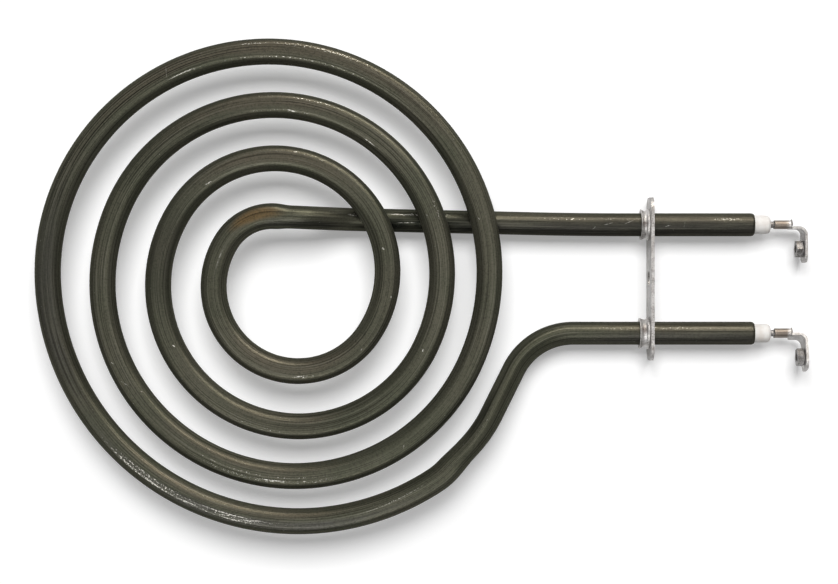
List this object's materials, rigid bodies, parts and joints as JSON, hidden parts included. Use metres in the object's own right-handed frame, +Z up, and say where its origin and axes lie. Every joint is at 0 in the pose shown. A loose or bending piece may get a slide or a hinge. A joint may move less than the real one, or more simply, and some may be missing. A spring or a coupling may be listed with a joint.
{
  "type": "tubular heating element",
  "caption": "Flat spiral tubular heating element: pressed steel sheath, round legs through an oblong fixing plate, ceramic beads and screw terminal tabs.",
  "frame": {"origin": "centre of the fixing hole, on the plate face that seats against the panel", "axes": "+X along the legs towards the terminals, +Y across the legs towards the inner end's leg, +Z up to the pan"},
  "size_m": [0.2824, 0.1803, 0.021],
  "materials": {
    "sheath_steel": "satin dark oxide",
    "plated_steel": "bright nickel plate",
    "bead_ceramic": "unglazed",
    "seal_resin": "matte",
    "magnesia_powder": "compacted powder",
    "resistance_wire": "drawn",
    "pin_steel": "drawn",
    "terminal_steel": "nickel plate"
  },
  "bodies": {
    "root": {"sheath_tube": "sheath_steel", "fixing_plate": "plated_steel", "inner_bushing": "plated_steel", "outer_bushing": "plated_steel", "inner_ceramic_bead": "bead_ceramic", "outer_ceramic_bead": "bead_ceramic", "inner_moisture_seal": "seal_resin", "outer_moisture_seal": "seal_resin", "inner_magnesia": "magnesia_powder", "outer_magnesia": "magnesia_powder", "inner_wire_tail": "resistance_wire", "outer_wire_tail": "resistance_wire", "inner_cold_pin": "pin_steel", "outer_cold_pin": "pin_steel", "inner_terminal_tab": "terminal_steel", "outer_terminal_tab": "terminal_steel", "inner_captive_nut": "terminal_steel", "outer_captive_nut": "terminal_steel"}
  },
  "joints": []
}
